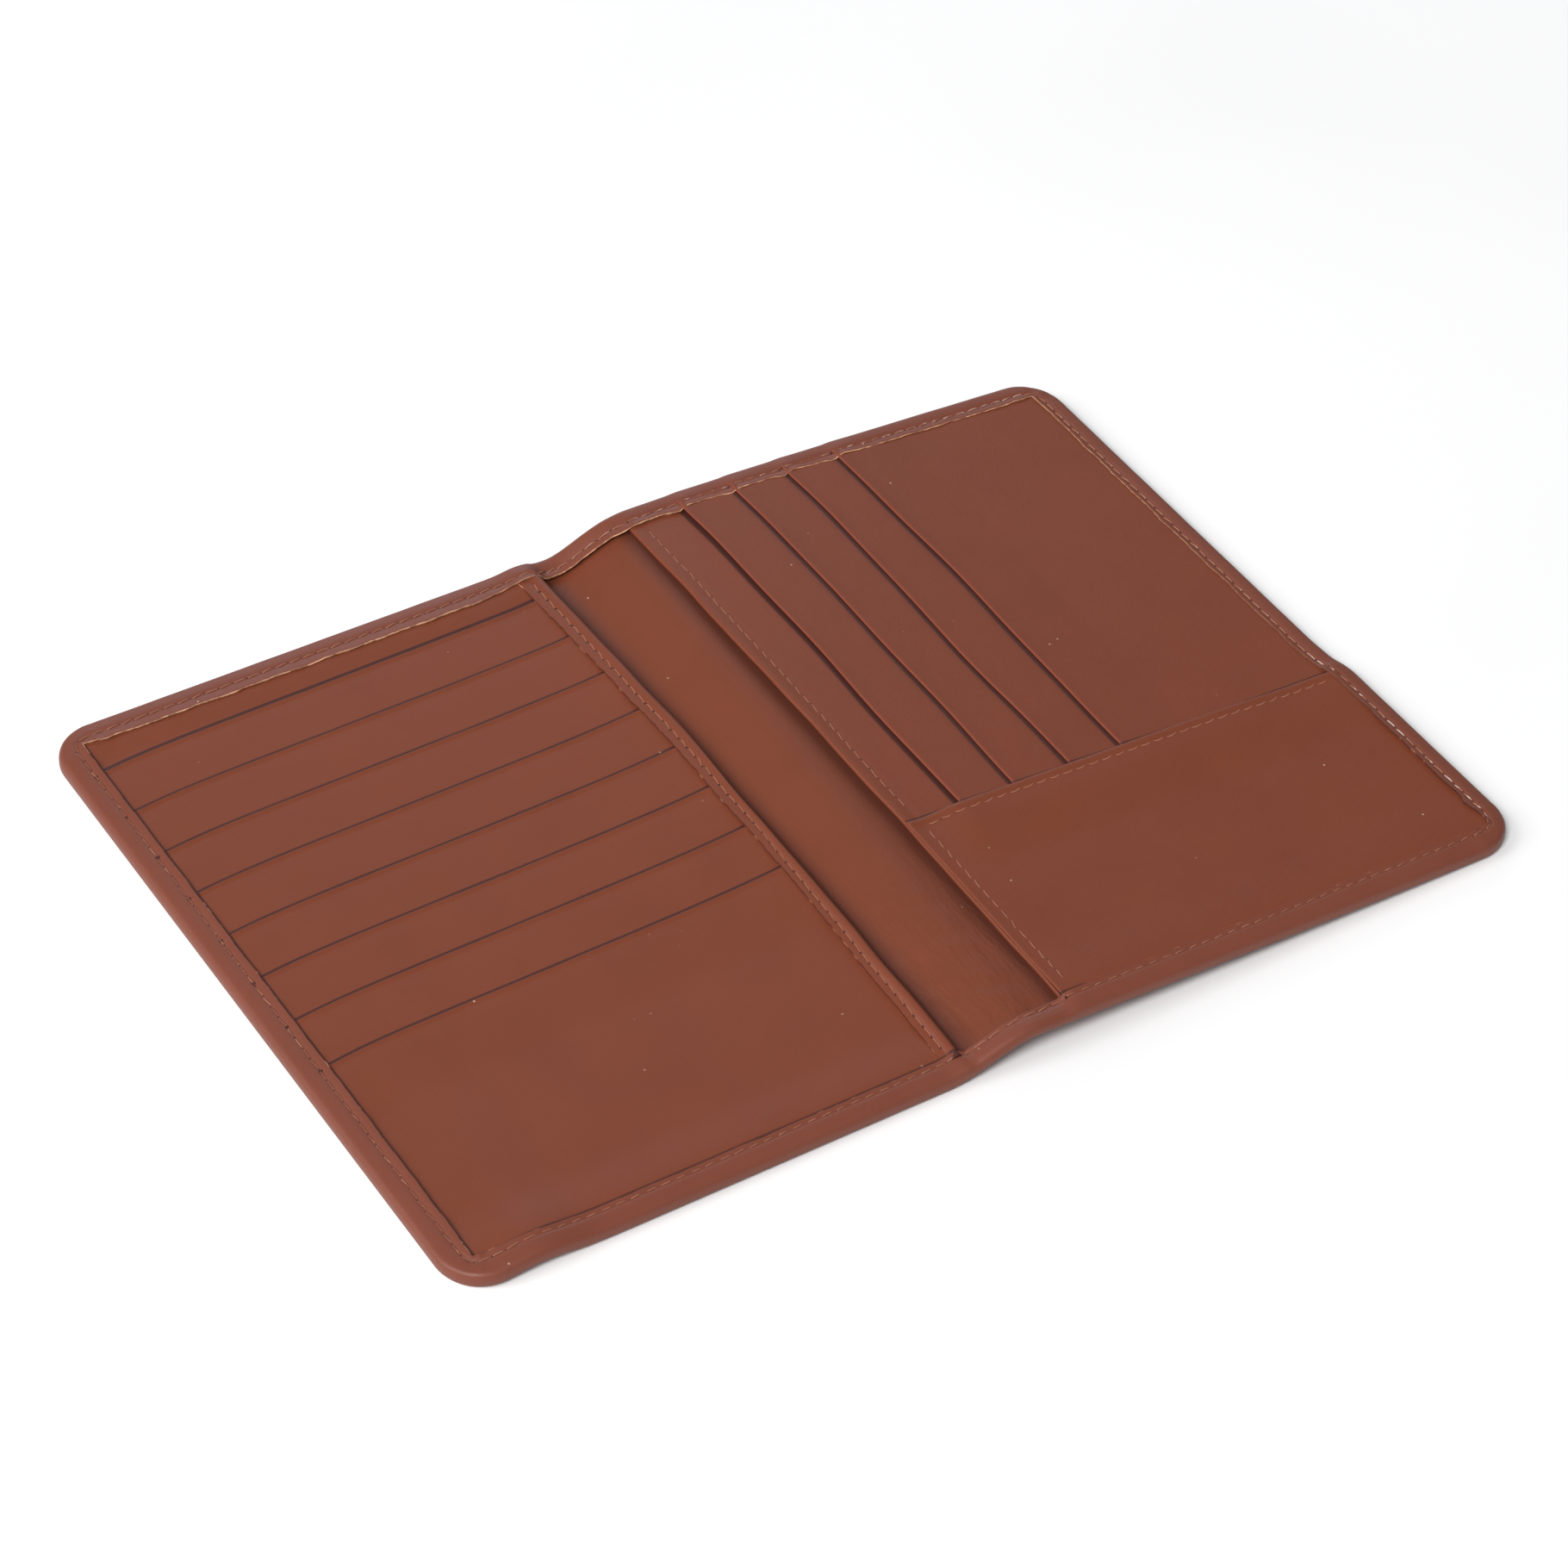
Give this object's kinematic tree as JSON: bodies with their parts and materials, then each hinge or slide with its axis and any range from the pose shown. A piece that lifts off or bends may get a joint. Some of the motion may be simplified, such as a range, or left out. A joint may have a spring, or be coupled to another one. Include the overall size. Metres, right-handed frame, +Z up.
{
  "type": "passport holder",
  "caption": "Two-leaf passport holder in turned-edge leather with stepped card pockets, a slip pocket and a soft folding spine.",
  "frame": {"origin": "on the surface that the open holder lies on, below the middle of its outline", "axes": "+X across the open holder from the stepped-pocket leaf to the slip-pocket leaf, +Y along the spine from front to back, +Z up out of the inside face"},
  "size_m": [0.206, 0.145, 0.0079],
  "materials": {
    "cover_leather": "satin",
    "lining_leather": "satin",
    "pocket_leather": "satin",
    "pocket_fabric": "matte",
    "stiffener_board": "matte",
    "sewing_thread": "matte"
  },
  "bodies": {
    "left_panel": {"left_cover": "cover_leather", "left_board": "stiffener_board", "left_lining": "lining_leather", "left_card_panel": "pocket_leather", "left_binding": "pocket_leather", "left_border_stitching": "sewing_thread", "left_binding_stitching": "sewing_thread", "left_card_pocket_1": "pocket_leather", "left_card_pocket_2": "pocket_leather", "left_card_pocket_3": "pocket_leather", "left_card_pocket_4": "pocket_leather", "left_card_pocket_5": "pocket_leather", "left_card_pocket_6": "pocket_leather", "left_card_pocket_7": "pocket_leather", "left_card_pocket_8": "pocket_leather", "left_pocket_lining_1": "pocket_fabric", "left_pocket_lining_2": "pocket_fabric", "left_pocket_lining_3": "pocket_fabric", "left_pocket_lining_4": "pocket_fabric", "left_pocket_lining_5": "pocket_fabric", "left_pocket_lining_6": "pocket_fabric", "left_pocket_lining_7": "pocket_fabric"},
    "spine": {"spine_cover": "cover_leather", "spine_lining": "lining_leather", "spine_stitching": "sewing_thread"},
    "right_panel": {"right_cover": "cover_leather", "right_board": "stiffener_board", "right_lining": "lining_leather", "right_card_panel": "pocket_leather", "right_border_stitching": "sewing_thread", "right_edge_stitching": "sewing_thread", "right_card_pocket_1": "pocket_leather", "right_card_pocket_2": "pocket_leather", "right_card_pocket_3": "pocket_leather", "right_card_pocket_4": "pocket_leather", "right_pocket_lining_1": "pocket_fabric", "right_pocket_lining_2": "pocket_fabric", "right_pocket_lining_3": "pocket_fabric", "slip_pocket": "pocket_leather", "slip_pocket_stitching": "sewing_thread"}
  },
  "joints": [
    {"name": "left_fold", "type": "hinge", "parent": "left_panel", "child": "spine", "pos_m": [-0.0065, 0, 0.0025], "axis": [0, -1, 0], "range_deg": [0, 62]},
    {"name": "right_fold", "type": "hinge", "parent": "spine", "child": "right_panel", "pos_m": [0.00511, 0, 0.0068], "axis": [0, -1, 0], "range_deg": [0, 124]}
  ],
  "couplings": [
    {"joint": "left_fold", "follows": "right_fold", "ratio": 0.5}
  ]
}
